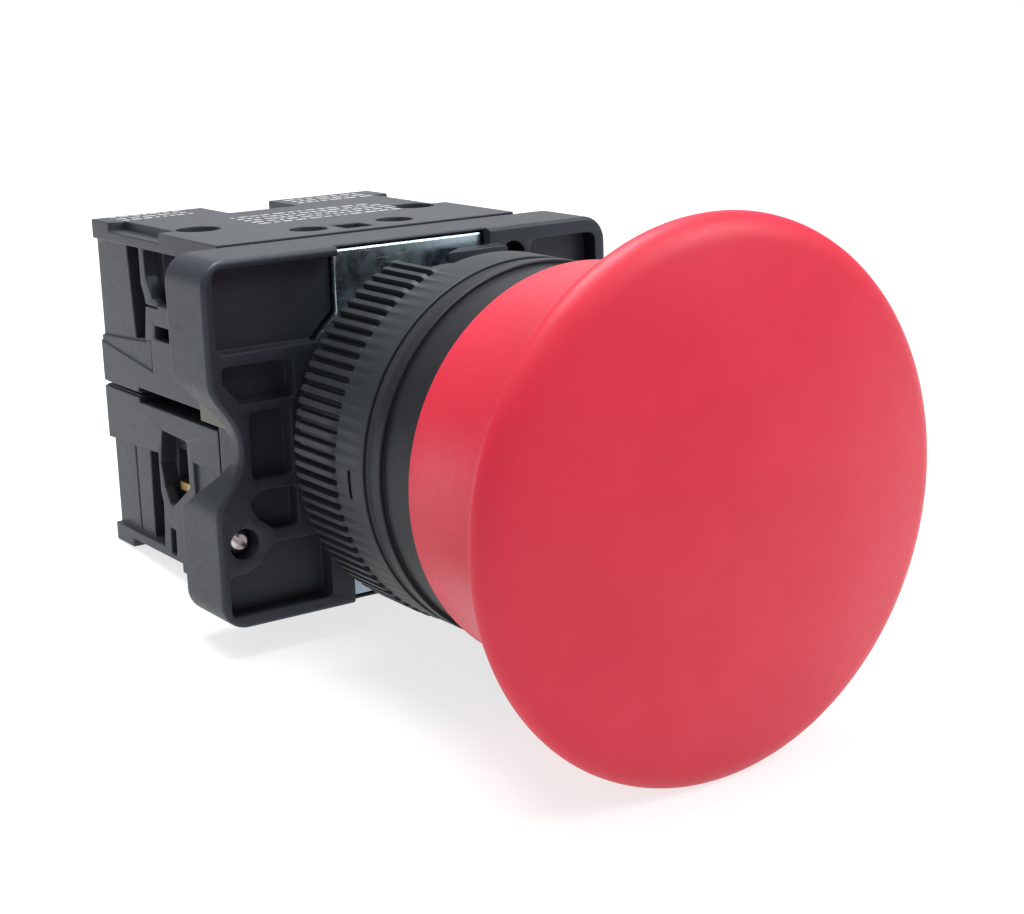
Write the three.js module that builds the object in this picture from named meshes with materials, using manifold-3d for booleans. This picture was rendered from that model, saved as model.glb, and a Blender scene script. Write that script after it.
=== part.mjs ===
// Emergency stop push-button: a mushroom head for a 22 mm panel hole, with its clamping base
// and two contact blocks, one normally closed (upper) and one normally open (lower).
// Millimetres. +Y is the push direction, into the panel. +Z is up. The origin lies on the push
// axis, in the plane where the gasket meets the panel.

import * as THREE from 'three';
import { mergeVertices } from 'three/addons/utils/BufferGeometryUtils.js';
import Module from 'manifold-3d';

const wasm = await Module();
wasm.setup();

// ---- driving dimensions -------------------------------------------------------------------

const GAP = 0.1;                // working clearance between pieces that sit against each other
const TRAVEL = 4.3;             // stroke of the head

const HEAD_RADIUS = 20;         // mushroom head
const HEAD_FRONT = -26.6;       // crown of the dome
const RIM_Y = -21.8;            // plane of the widest circle
const SKIRT_RADIUS = 15.2;      // neck of the mushroom
const SKIRT_BORE = 14.75;
const FLARE_POWER = 1.69;       // how late the neck opens into the rim

const COLLAR_RADIUS = 14.4;     // the body's front collar, which the skirt slides over
const FLANGE_RADIUS = 14.75;
const FLANGE_FRONT = -2.25;
const GASKET_RADIUS = 14.6;
const SKIRT_END = FLANGE_FRONT - TRAVEL - 0.4;  // the pressed skirt stops just short of the flange
const BARREL_RADIUS = 10.9;     // fits a 22.3 mm panel hole
const NECK_RADIUS = 10.3;       // unthreaded end of the barrel, held by the lock plate
const BARREL_BORE = 9.5;
const BARREL_END = 18.2;

const NUT_END = 10.4;
const NUT_SMOOTH_END = 4;       // the nut is smooth in front of this plane and ridged behind it
const NUT_RADIUS = 14.75;
const RIDGES = 96;
const RIDGE_TOP = 14.95;
const RIDGE_ROOT = 14.45;
const RIDGE_GAP = [57, 110];    // degrees; there are no ridges at the top
const RIDGE_GAP_RADIUS = 13.2;

const BASE_FRONT = 15.13;       // clamping base
const BASE_BACK = 21.84;
const BASE_HALF_X = 19.35;
const BASE_HALF_Z = 14.85;
const BASE_CORNER = 2.2;
const POCKET_DEPTH = 1.6;
const SMALL_POCKET_DEPTH = 1.3;
const HOOK_FRONT = BASE_FRONT + 2.8;  // the covers' hooks catch inside the base
const PLATE_HALF_X = 7.15;      // steel lock plate, sunk into the base
const PLATE_HALF_Z = 14.5;
const PLATE_FRONT = BASE_FRONT + 1;
const PLATE_THICKNESS = 1.2;
const PLATE_RING = 11.8;
const SCREW_X = 17.1;           // clamp screws
const SCREW_Z = -7.85;

const BLOCK_HALF_X = 14.5;      // contact blocks
const BLOCK_HEIGHT = 15;
const BLOCK_FRONT = 22;
const BLOCK_BACK = 47;
const COVER_THICKNESS = 2;
const WALL = 1.9;
const PLUNGER_Z = 7.5;
const PLUNGER_FRONT = 17.6;
const CAVITY_HALF_X = 6.6;
const CAVITY_BACK = 40.6;
const CHAMBER_INNER = 8.2;      // wire chambers at the two ends of a block
const CHAMBER_FRONT = 29.5;
const CHAMBER_BACK = 35.5;
const CHAMBER_FLOOR = 4.3;
const CHAMBER_ROOF = 13.4;
const CHEEK_HALF_X = 13.7;      // the block is narrower in front of its wire chambers
const TONGUE_FLOOR = 13.9;      // the housing's top runs forward over the cover
const TERMINAL_X = 10.8;        // axis of a terminal screw
const TERMINAL_Y = 32.8;

// ---- materials ----------------------------------------------------------------------------

const finishes = {
  redPlastic: [0xb81f33, 0.45, 0],
  blackPlastic: [0x17181a, 0.6, 0],
  greyPlastic: [0x2a2b2e, 0.65, 0],
  rubber: [0x0d0d0e, 0.85, 0],
  whiteAcetal: [0xd9d6cc, 0.5, 0],
  greenPlastic: [0x1f6b3a, 0.5, 0],
  zincSteel: [0x9aa3ad, 0.35, 1],
  springSteel: [0x8d8f92, 0.3, 1],
  yellowZinc: [0x8f8a55, 0.4, 1],
  brass: [0xb08d3f, 0.35, 1],
};

function material(finish) {
  const [color, roughness, metalness] = finishes[finish];
  return new THREE.MeshStandardMaterial({ color, roughness, metalness });
}

// ---- solids -------------------------------------------------------------------------------

function toManifold(geometry) {
  const bare = geometry.clone();
  bare.deleteAttribute('normal');
  bare.deleteAttribute('uv');
  const merged = mergeVertices(bare, 1e-4);
  return new wasm.Manifold(new wasm.Mesh({
    numProp: 3,
    vertProperties: new Float32Array(merged.attributes.position.array),
    triVerts: new Uint32Array(merged.index.array),
  }));
}

function toGeometry(manifold) {
  const mesh = manifold.getMesh();
  const geometry = new THREE.BufferGeometry();
  geometry.setAttribute('position', new THREE.BufferAttribute(mesh.vertProperties, 3));
  geometry.setIndex(new THREE.BufferAttribute(mesh.triVerts, 1));
  return geometry;
}

function join(...parts) {
  return toGeometry(parts.map(toManifold).reduce((whole, part) => whole.add(part)));
}

function cut(base, ...tools) {
  return toGeometry(tools.map(toManifold).reduce((rest, tool) => rest.subtract(tool), toManifold(base)));
}

// A box given by its two limits along each axis.
function box([x0, x1], [y0, y1], [z0, z1]) {
  const geometry = new THREE.BoxGeometry(x1 - x0, y1 - y0, z1 - z0);
  return geometry.translate((x0 + x1) / 2, (y0 + y1) / 2, (z0 + z1) / 2);
}

// A solid of revolution about the push axis, from [radius, y] points.
function turned(points, segments = 36) {
  return new THREE.LatheGeometry(points.map(([radius, y]) => new THREE.Vector2(radius, y)), segments);
}

function closedProfile(points) {
  return [...points, points[0]];
}

// A cylinder along Y or Z.
function rodY(x, z, radius, y0, y1, segments = 16) {
  return new THREE.CylinderGeometry(radius, radius, y1 - y0, segments).translate(x, (y0 + y1) / 2, z);
}

function rodZ(x, y, radius, z0, z1, segments = 16) {
  const rod = new THREE.CylinderGeometry(radius, radius, z1 - z0, segments).rotateX(Math.PI / 2);
  return rod.translate(x, y, (z0 + z1) / 2);
}

// An outline drawn in X and Z, given thickness from y0 to y1.
function slab(outline, y0, y1, curveSegments = 4) {
  const settings = { depth: y1 - y0, bevelEnabled: false, curveSegments };
  return new THREE.ExtrudeGeometry(outline, settings).rotateX(Math.PI / 2).translate(0, y1, 0);
}

function roundedBox([x0, x1], [y0, y1], [z0, z1], radius) {
  const outline = new THREE.Shape();
  outline.absarc(x1 - radius, z1 - radius, radius, 0, Math.PI / 2);
  outline.absarc(x0 + radius, z1 - radius, radius, Math.PI / 2, Math.PI);
  outline.absarc(x0 + radius, z0 + radius, radius, Math.PI, 1.5 * Math.PI);
  outline.absarc(x1 - radius, z0 + radius, radius, 1.5 * Math.PI, 2 * Math.PI);
  return slab(outline, y0, y1, 3);
}

// A compression spring along Y, centred on (0, z).
function spring(z, radius, wire, y0, y1, turns) {
  const stepsPerTurn = 10;
  const sides = 4;
  const steps = turns * stepsPerTurn;
  const rise = (y1 - y0 - 2 * wire) / steps;
  const points = Array.from({ length: steps + 1 }, (_, i) => {
    const angle = (2 * Math.PI * i) / stepsPerTurn;
    return new THREE.Vector3(
      radius * Math.cos(angle), y0 + wire + rise * i, z + radius * Math.sin(angle));
  });
  const section = new THREE.Shape(Array.from({ length: sides }, (_, i) => new THREE.Vector2(
    wire * Math.cos((2 * Math.PI * i) / sides), wire * Math.sin((2 * Math.PI * i) / sides))));
  const extrudePath = new THREE.CatmullRomCurve3(points);
  return new THREE.ExtrudeGeometry(section, { steps, extrudePath, bevelEnabled: false });
}

const button = new THREE.Group();

function add(parent, name, geometry, finish) {
  const mesh = new THREE.Mesh(geometry, material(finish));
  mesh.name = name;
  parent.add(mesh);
}

// ---- head ---------------------------------------------------------------------------------

function mushroomCap() {
  const crownEdge = new THREE.Vector2(18.2, -23.6);
  const crownSteps = 5;
  const flareSteps = 7;
  const flareEnd = -21.3;
  const flareRise = 4.3;
  const crown = Array.from({ length: crownSteps + 1 }, (_, i) => {
    const share = i / crownSteps;
    return [crownEdge.x * share, HEAD_FRONT + (crownEdge.y - HEAD_FRONT) * share ** 2];
  });
  const rim = [[19.3, -22.85], [19.9, -22.2], [HEAD_RADIUS, RIM_Y]];
  const flare = Array.from({ length: flareSteps + 1 }, (_, i) => {
    const share = 1 - i / flareSteps;
    return [SKIRT_RADIUS + flareRise * share ** FLARE_POWER, SKIRT_END + (flareEnd - SKIRT_END) * share];
  });
  const inside = [
    [SKIRT_BORE, SKIRT_END], [SKIRT_BORE, -18.6], [13.4, -20.4], [5.6, -20.4],
    [5, -9], [3, -9], [3, -18], [0, -18],
  ];
  return turned([...crown, ...rim, ...flare, ...inside]);
}

const STEM_RADIUS = 4;
const STEM_END = 15.6;
const SEAT_FRONT = 12.5;
const SEAT_BACK = 14;
const FLANGE_BACK = 0.6;

function pushStem() {
  return turned([
    [0, -17.9], [2.9, -17.9], [2.9, -8.9], [4.6, -8.9], [4.6, -0.9], [8.8, -0.9],
    [8.8, FLANGE_BACK], [STEM_RADIUS, FLANGE_BACK], [STEM_RADIUS, STEM_END], [1.6, STEM_END],
    [1.6, 17.3], [0, 17.3],
  ], 24);
}

function pusherFoot() {
  const plate = box([-2.6, 2.6], [STEM_END + GAP, PLUNGER_FRONT - GAP], [-8.9, 8.9]);
  return cut(plate, rodY(0, 0, 1.7, STEM_END - 1, PLUNGER_FRONT + 1));
}

function buttonBody() {
  return turned(closedProfile([
    [13.3, -11], [COLLAR_RADIUS, -11], [COLLAR_RADIUS, FLANGE_FRONT], [FLANGE_RADIUS, FLANGE_FRONT],
    [FLANGE_RADIUS, -1.1], [BARREL_RADIUS, -1.1], [BARREL_RADIUS, 13], [NECK_RADIUS, 13.4],
    [NECK_RADIUS, BARREL_END], [BARREL_BORE, BARREL_END], [BARREL_BORE, 14.9], [8.6, 14.7],
    [8.6, SEAT_BACK + GAP], [9.4, SEAT_BACK + GAP], [9.4, -1], [4.8, -1], [4.8, -3], [13.3, -3],
  ]));
}

add(button, 'mushroom_cap', mushroomCap(), 'redPlastic');
add(button, 'push_stem', pushStem(), 'whiteAcetal');
add(button, 'pusher_foot', pusherFoot(), 'whiteAcetal');
add(button, 'return_spring',
  spring(0, 6.5, 0.45, FLANGE_BACK + GAP, SEAT_FRONT - GAP, 5), 'springSteel');
add(button, 'spring_seat', turned(closedProfile([
  [4.3, SEAT_FRONT], [9.3, SEAT_FRONT], [9.3, SEAT_BACK], [4.3, SEAT_BACK],
]), 24), 'greyPlastic');
add(button, 'button_body', buttonBody(), 'blackPlastic');
add(button, 'panel_gasket', turned(closedProfile([
  [11.2, -1], [GASKET_RADIUS, -1], [GASKET_RADIUS, 0], [11.2, 0],
])), 'rubber');

// ---- ring nut -----------------------------------------------------------------------------

function ringNut() {
  const collar = turned(closedProfile([
    [11.1, GAP], [NUT_RADIUS, GAP], [NUT_RADIUS, NUT_SMOOTH_END + 0.2], [11.1, NUT_SMOOTH_END + 0.2],
  ]), 32);
  const pitch = (2 * Math.PI) / RIDGES;
  const corners = [[0.1, RIDGE_ROOT], [0.4, RIDGE_TOP], [0.75, RIDGE_TOP]];
  const outline = new THREE.Shape(Array.from({ length: RIDGES }, (_, ridge) => corners.map(
    ([share, radius]) => new THREE.Vector2(
      radius * Math.cos(pitch * (ridge + share)), radius * Math.sin(pitch * (ridge + share))))).flat());
  const bore = new THREE.Path();
  bore.absarc(0, 0, 11.1, 0, 2 * Math.PI, true);
  outline.holes.push(bore);
  const slotAngle = THREE.MathUtils.degToRad(183);
  const slot = box([-0.4, 0.8], [1.9, 2.3], [-1.1, 1.1]).rotateY(-slotAngle)
    .translate(NUT_RADIUS * Math.cos(slotAngle), 0, NUT_RADIUS * Math.sin(slotAngle));
  const [gapStart, gapEnd] = RIDGE_GAP.map(THREE.MathUtils.degToRad);
  const sector = new THREE.Shape([new THREE.Vector2(0, 0), ...Array.from({ length: 5 }, (_, step) => {
    const angle = gapStart + ((gapEnd - gapStart) * step) / 4;
    return new THREE.Vector2(17 * Math.cos(angle), 17 * Math.sin(angle));
  })]);
  const gap = cut(
    slab(sector, NUT_SMOOTH_END, NUT_END + 1),
    rodY(0, 0, RIDGE_GAP_RADIUS, NUT_SMOOTH_END - 1, NUT_END + 2, 32));
  return cut(join(collar, slab(outline, NUT_SMOOTH_END, NUT_END, 12)), slot, gap);
}

add(button, 'ring_nut', ringNut(), 'blackPlastic');

// ---- clamping base ------------------------------------------------------------------------

// The base's outline has a round bite in each side, for a screwdriver to reach the latches.
function baseOutline() {
  const outline = new THREE.Shape();
  const x = BASE_HALF_X;
  const z = BASE_HALF_Z;
  const r = BASE_CORNER;
  const biteFloor = 17;
  const biteEnd = 5.4;
  outline.moveTo(-x, biteEnd);
  outline.bezierCurveTo(-x, 3.4, -biteFloor, 2.6, -biteFloor, -0.3);
  outline.bezierCurveTo(-biteFloor, -3.2, -x, -3.8, -x, -biteEnd - 0.3);
  outline.absarc(-x + r, -z + r, r, Math.PI, 1.5 * Math.PI);
  outline.absarc(x - r, -z + r, r, 1.5 * Math.PI, 2 * Math.PI);
  outline.lineTo(x, -biteEnd - 0.3);
  outline.bezierCurveTo(x, -3.8, biteFloor, -3.2, biteFloor, -0.3);
  outline.bezierCurveTo(biteFloor, 2.6, x, 3.4, x, biteEnd);
  outline.absarc(x - r, z - r, r, 0, Math.PI / 2);
  outline.absarc(-x + r, z - r, r, Math.PI / 2, Math.PI);
  return outline;
}

// Pockets below the top one, on one side, with x counted outward from the middle.
function sidePockets(side) {
  const limits = (a, b) => (side < 0 ? [-b, -a] : [a, b]);
  const depth = [BASE_FRONT - 1, BASE_FRONT + SMALL_POCKET_DEPTH];
  const outlined = (points) => new THREE.Shape(points.map(([x, z]) => new THREE.Vector2(side * x, z)));
  return [
    slab(outlined([[11.9, 6.5], [11.9, 3.4], [16.6, 3.4], [18.1, 5.2], [18.1, 6.5]]), ...depth),
    roundedBox(limits(12.4, 16), depth, [-2.9, 2.7], 0.5),
    slab(outlined([
      [12.2, -3.8], [15.4, -3.7], [16.3, -4.2], [16.4, -4.9], [15.6, -6.1], [14.3, -7.1], [12.2, -7.1],
    ]), ...depth),
    slab(outlined([
      [9.4, -13.7], [18.4, -13.7], [18.6, -13.5], [18.6, -10.5], [18.4, -10.3], [17, -10.3],
      [15.9, -9.7], [15.2, -8.7], [14.3, -8.2], [9.4, -8.2],
    ]), BASE_FRONT - 1, BASE_FRONT + POCKET_DEPTH),
  ];
}

function clampBase() {
  const front = BASE_FRONT;
  const back = BASE_BACK;
  const depth = [front - 1, front + POCKET_DEPTH];
  const tools = [
    rodY(0, 0, NECK_RADIUS + 0.2, front - 1, back + 1, 24),
    // The front is set back over the lock plate, from the top to the bottom.
    box([-PLATE_HALF_X - GAP, PLATE_HALF_X + GAP], [front - 1, PLATE_FRONT],
      [-BASE_HALF_Z - 1, BASE_HALF_Z + 1]),
    box([-PLATE_HALF_X - GAP, PLATE_HALF_X + GAP], [front - 1, PLATE_FRONT + PLATE_THICKNESS + GAP],
      [-PLATE_HALF_Z - GAP, PLATE_HALF_Z + GAP]),
    rodY(0, 0, PLATE_RING + 0.2, front - 1, PLATE_FRONT + PLATE_THICKNESS + GAP, 24),
    roundedBox([-18.4, -6], depth, [7.5, 14.1], 0.8),
    roundedBox([11.4, 18.2], depth, [7.4, 13.5], 0.8),
    rodY(9.6, 12.4, 1.15, ...depth),
    box([8.45, 10.75], depth, [9.5, 12.4]),
  ];
  for (const side of [-1, 1]) {
    tools.push(...sidePockets(side));
    tools.push(rodY(side * SCREW_X, SCREW_Z, 1.2, front - 1, back + 1));
    tools.push(rodY(side * SCREW_X, SCREW_Z, 2.05, back - 1.9, back + 1));
    // Behind the bite the wall opens in a vee, down to the latches.
    const vee = new THREE.Shape([
      [16.7, -1.5], [back + 1, -6.1], [back + 1, 5.6], [16.7, 1.2],
    ].map(([y, z]) => new THREE.Vector2(-z, y)));
    const wedge = new THREE.ExtrudeGeometry(vee, { depth: 4.4, bevelEnabled: false }).rotateY(Math.PI / 2);
    tools.push(wedge.translate(side < 0 ? -19.9 : 15.5, 0, 0));
  }
  // Recesses for the latch clips of the two contact blocks, and slots for their hooks.
  tools.push(box([-17.1, -15.5], [16.7, back + 1], [0.5, 4.3]));
  tools.push(box([15.5, 17.1], [16.7, back + 1], [-4.3, -0.5]));
  tools.push(box([12.4, 14.4], [HOOK_FRONT - 0.2, back + 1], [5.5, 9.5]));
  tools.push(box([-14.4, -12.4], [HOOK_FRONT - 0.2, back + 1], [-9.5, -5.5]));
  // A tab beside the lock plate reaches over it and keeps it in.
  const tab = new THREE.Shape([
    [2.2, 14], [8.3, 14], [8.3, front + 0.5], [7.6, front + 0.5],
    [7.6, PLATE_FRONT - GAP], [4.7, PLATE_FRONT - GAP],
  ].map(([x, y]) => new THREE.Vector2(x, y)));
  const tabSolid = new THREE.ExtrudeGeometry(tab, { depth: 1.25, bevelEnabled: false }).translate(0, 0, 12.2);
  return join(cut(slab(baseOutline(), front, back), ...tools), tabSolid);
}

function lockPlate() {
  const y = [PLATE_FRONT, PLATE_FRONT + PLATE_THICKNESS];
  const strip = box([-PLATE_HALF_X, PLATE_HALF_X], y, [-PLATE_HALF_Z, PLATE_HALF_Z]);
  const ring = rodY(0, 0, PLATE_RING, ...y, 24);
  return cut(join(strip, ring), rodY(0, 0, NECK_RADIUS + 0.2, y[0] - 1, y[1] + 1, 24));
}

function clampScrew(x) {
  const headFront = BASE_BACK - 1.75;
  const headBack = BASE_BACK - 0.2;
  const screw = join(
    rodY(x, SCREW_Z, 1, BASE_FRONT + 0.9, headFront + 0.3),
    rodY(x, SCREW_Z, 1.95, headFront, headBack));
  return cut(screw,
    box([x - 2.5, x + 2.5], [headBack - 0.7, headBack + 1], [SCREW_Z - 0.25, SCREW_Z + 0.25]),
    box([x - 1.5, x + 1.5], [BASE_FRONT, BASE_FRONT + 1.4], [SCREW_Z - 0.2, SCREW_Z + 0.2]));
}

add(button, 'clamp_base', clampBase(), 'blackPlastic');
add(button, 'lock_plate', lockPlate(), 'zincSteel');
add(button, 'clamp_screw_left', clampScrew(-SCREW_X), 'zincSteel');
add(button, 'clamp_screw_right', clampScrew(SCREW_X), 'zincSteel');

// ---- contact blocks -----------------------------------------------------------------------
// A block is drawn as the upper one, from z = 0 at the middle of the assembly to its outer face.

const BRIDGE_THICKNESS = 0.8;
const BRIDGE_HALF_X = 5.2;
const TIP_X = 4.3;
const TIP = 0.25;
const WINDOW_FRONT = 26;
const WINDOW_BACK = 32.3;
const PLUNGER_BACK = 33.5;
const STRIP = 0.8;
const PAD_Z = 7.1;

// Where the bridge and the fixed contacts stand in each kind of block.
const contactKinds = {
  normallyClosed: { bridgeFront: 27.6, bladeFront: 26.4, plunger: 'redPlastic' },
  normallyOpen: { bridgeFront: 31.35, bladeFront: 35.3, plunger: 'greenPlastic' },
};

function housing() {
  const top = BLOCK_HEIGHT + 1;
  const outside = BLOCK_HALF_X + 1;
  const coverBack = BLOCK_FRONT + COVER_THICKNESS + GAP;
  const slotRoof = 0.5;
  const dimpleFloor = BLOCK_HEIGHT - 0.8;
  const outer = join(
    box([-BLOCK_HALF_X, BLOCK_HALF_X], [coverBack, BLOCK_BACK], [GAP, BLOCK_HEIGHT]),
    box([-BLOCK_HALF_X, BLOCK_HALF_X], [BLOCK_FRONT, coverBack + 1], [TONGUE_FLOOR, BLOCK_HEIGHT]));
  const tools = [
    box([-CAVITY_HALF_X, CAVITY_HALF_X], [BLOCK_FRONT, CAVITY_BACK], [WALL, BLOCK_HEIGHT - WALL]),
    box([-3.5, 3.5], [41.2, BLOCK_BACK + 1], [9, top]),
    rodZ(-1.6, 24, 1.3, dimpleFloor, top, 4),
    rodZ(-6.1, 24, 1.5, dimpleFloor, top),
    rodZ(2.9, 24.5, 1.5, dimpleFloor, top),
  ];
  for (const side of [-1, 1]) {
    const limits = (a, b) => (side < 0 ? [-b, -a] : [a, b]);
    tools.push(
      box(limits(13.3, outside), [36.3, 40], [CHAMBER_FLOOR, 14.1]),
      box(limits(CHAMBER_INNER, outside), [CHAMBER_FRONT, CHAMBER_BACK], [CHAMBER_FLOOR, CHAMBER_ROOF]),
      box(limits(CHEEK_HALF_X, outside), [coverBack - 1, CHAMBER_FRONT + 1], [CHAMBER_FLOOR, TONGUE_FLOOR]),
      box(limits(13, outside), [31.5, 42], [14.2, top]),
      box(limits(CAVITY_HALF_X - 1, CHAMBER_INNER + 1), [30.9, 34.7], [PAD_Z - GAP, PAD_Z + STRIP + GAP]),
      rodZ(side * TERMINAL_X, TERMINAL_Y, 1.9, CHAMBER_ROOF - 1, top),
      box(limits(6, outside), [BLOCK_FRONT, 39.5], [-1, slotRoof]));
  }
  return cut(outer, ...tools);
}

function cover() {
  const y = [BLOCK_FRONT, BLOCK_FRONT + COVER_THICKNESS];
  const plate = box([-BLOCK_HALF_X + 0.9, BLOCK_HALF_X - 0.9], y, [0.5, TONGUE_FLOOR - GAP]);
  const lip = box([12.6, 14.2], [HOOK_FRONT, HOOK_FRONT + 1], [6, 9]);
  const hook = box([12.6, 13.6], [HOOK_FRONT, BLOCK_FRONT + 0.5], [6, 9]);
  const hole = box([-2.2, 2.2], [y[0] - 1, y[1] + 1], [PLUNGER_Z - 1.7, PLUNGER_Z + 1.7]);
  return cut(join(plate, hook, lip), hole);
}

function plunger() {
  const nose = box([-2, 2], [PLUNGER_FRONT, 25], [PLUNGER_Z - 1.5, PLUNGER_Z + 1.5]);
  const frame = box([-2.5, 2.5], [24.6, PLUNGER_BACK], [PLUNGER_Z - 3.4, PLUNGER_Z + 3.4]);
  const window = box([-3, 3], [WINDOW_FRONT, WINDOW_BACK], [PLUNGER_Z - 2.3, PLUNGER_Z + 2.3]);
  return cut(join(nose, frame), window);
}

function bridge(kind) {
  const y = [kind.bridgeFront, kind.bridgeFront + BRIDGE_THICKNESS];
  const closed = kind.bladeFront < kind.bridgeFront;
  const tipY = closed ? [y[0] - TIP, y[0] + 0.2] : [y[1] - 0.2, y[1] + TIP];
  return join(
    box([-BRIDGE_HALF_X, BRIDGE_HALF_X], y, [PLUNGER_Z - 1.8, PLUNGER_Z + 1.8]),
    rodY(-TIP_X, PLUNGER_Z, 0.85, ...tipY, 12), rodY(TIP_X, PLUNGER_Z, 0.85, ...tipY, 12));
}

// A fixed contact: blade and tip inside, then through the wall to the pad under the screw.
function terminal(kind, side) {
  const limits = (a, b) => (side < 0 ? [-b, -a] : [a, b]);
  const blade = [kind.bladeFront, kind.bladeFront + STRIP];
  const z = [PLUNGER_Z - 1.6, PLUNGER_Z + 1.6];
  const closed = kind.bladeFront < kind.bridgeFront;
  const tipY = closed ? [blade[1] - 0.2, blade[1] + 0.1] : [blade[0] - 0.15, blade[0] + 0.2];
  const strip = join(
    box(limits(3.4, 6.4), blade, z),
    box(limits(5.7, 6.4), [Math.min(blade[0], 31), Math.max(blade[1], 34.6)], z),
    rodY(side * TIP_X, PLUNGER_Z, 0.85, ...tipY, 12),
    box(limits(5.7, 13.4), [31, 34.6], [PAD_Z, PAD_Z + STRIP]));
  return cut(strip, rodZ(side * TERMINAL_X, TERMINAL_Y, 1.35, PAD_Z - 1, PAD_Z + STRIP + 1, 12));
}

function terminalScrew(side) {
  const x = side * TERMINAL_X;
  const top = 12.9;
  const screw = join(
    rodZ(x, TERMINAL_Y, 1.25, 4.8, top - 1.2, 12), rodZ(x, TERMINAL_Y, 1.8, top - 1.5, top));
  return cut(screw, box([x - 0.25, x + 0.25], [TERMINAL_Y - 3, TERMINAL_Y + 3], [top - 0.7, top + 1]));
}

function clampWasher(side) {
  const x = side * TERMINAL_X;
  const plate = box([x - 2.3, x + 2.3], [TERMINAL_Y - 2.3, TERMINAL_Y + 2.3], [10.5, 11.2]);
  return cut(plate, rodZ(x, TERMINAL_Y, 1.4, 10, 12, 12));
}

function latchClip() {
  const z = [0.7, 4.1];
  return join(
    box([-16.3, -15.7], [16.9, 23.4], z),
    box([-16.9, -15.7], [16.9, 17.5], z),
    box([-16.3, -BLOCK_HALF_X + 0.5], [22.8, 23.4], z));
}

function contactBlock(name, kindName) {
  const kind = contactKinds[kindName];
  const block = new THREE.Group();
  const closed = kindName === 'normallyClosed';
  const bridgeBack = kind.bridgeFront + BRIDGE_THICKNESS;
  const springLimits = closed
    ? [bridgeBack + GAP, WINDOW_BACK - GAP]
    : [WINDOW_FRONT + GAP, kind.bridgeFront - GAP];
  add(block, `${name}_block_housing`, housing(), 'blackPlastic');
  add(block, `${name}_block_cover`, cut(cover(),
    box([-15, -13.2], [BLOCK_FRONT - 1, BLOCK_FRONT + COVER_THICKNESS + 1], [0, 4.4])), 'greyPlastic');
  add(block, `${name}_latch_clip`, latchClip(), 'yellowZinc');
  add(block, `${name}_plunger`, plunger(), kind.plunger);
  add(block, `${name}_plunger_spring`,
    spring(PLUNGER_Z, 1.8, 0.22, PLUNGER_BACK + GAP, CAVITY_BACK - GAP, 5), 'springSteel');
  add(block, `${name}_contact_bridge`, bridge(kind), 'brass');
  add(block, `${name}_contact_spring`,
    spring(PLUNGER_Z, 1.2, 0.18, ...springLimits, 4), 'springSteel');
  for (const [end, side] of [['left', -1], ['right', 1]]) {
    add(block, `${name}_terminal_${end}`, terminal(kind, side), 'brass');
    add(block, `${name}_terminal_screw_${end}`, terminalScrew(side), 'zincSteel');
    add(block, `${name}_clamp_washer_${end}`, clampWasher(side), 'zincSteel');
  }
  button.add(block);
  return block;
}

contactBlock('upper', 'normallyClosed');
// The lower block is the same moulding, turned half round the push axis.
contactBlock('lower', 'normallyOpen').rotation.y = Math.PI;

export default button;
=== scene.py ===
"""The looks of a mushroom-head push-button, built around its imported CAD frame.

Solids are drawn in millimetres in the CAD's frame (+Y is the push direction, +Z up) and are scaled to metres
when they become pieces. Where a piece starts and ends comes from the box of the CAD node that it replaces.
"""

import math
import random

import bmesh
import bpy
from mathutils import Matrix, Vector
from mathutils.geometry import delaunay_2d_cdt


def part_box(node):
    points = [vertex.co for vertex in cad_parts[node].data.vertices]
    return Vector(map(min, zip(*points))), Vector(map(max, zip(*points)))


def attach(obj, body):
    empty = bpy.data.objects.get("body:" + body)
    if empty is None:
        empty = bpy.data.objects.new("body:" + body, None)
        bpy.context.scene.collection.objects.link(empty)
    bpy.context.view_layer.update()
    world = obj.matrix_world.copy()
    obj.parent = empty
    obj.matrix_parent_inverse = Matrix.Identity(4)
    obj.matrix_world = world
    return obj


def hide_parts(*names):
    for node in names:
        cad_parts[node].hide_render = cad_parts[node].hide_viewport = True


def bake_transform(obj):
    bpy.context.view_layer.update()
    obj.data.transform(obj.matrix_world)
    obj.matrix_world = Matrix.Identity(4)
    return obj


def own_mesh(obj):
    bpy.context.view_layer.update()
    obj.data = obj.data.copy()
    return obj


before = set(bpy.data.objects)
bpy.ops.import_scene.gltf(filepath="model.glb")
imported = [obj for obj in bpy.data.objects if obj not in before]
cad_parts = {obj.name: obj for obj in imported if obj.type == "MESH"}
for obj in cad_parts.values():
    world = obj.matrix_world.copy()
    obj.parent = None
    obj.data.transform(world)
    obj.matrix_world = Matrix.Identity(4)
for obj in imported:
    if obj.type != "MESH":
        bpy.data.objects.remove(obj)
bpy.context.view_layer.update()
MM = 0.001
TURN = 2 * math.pi
HALF_ROUND = Matrix.Rotation(math.pi, 4, "Y")


def limits(node):
    """((x0, x1), (y0, y1), (z0, z1)) of a CAD node, in millimetres."""
    low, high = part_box(node)
    return tuple((low[k] / MM, high[k] / MM) for k in range(3))


# ---- camera ----------------------------------------------------------------------------------

CAMERA_AZIMUTH = math.radians(-34.14)
CAMERA_ELEVATION = math.radians(14.85)
CAMERA_ROLL = math.radians(-1.83)
CAMERA_DISTANCE = 154.1
CAMERA_AIM = (-0.71, 2.77, -3.45)
CAMERA_LENS = 69.19
CAMERA_SHIFT = (0.0099, 0.0284)


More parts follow.
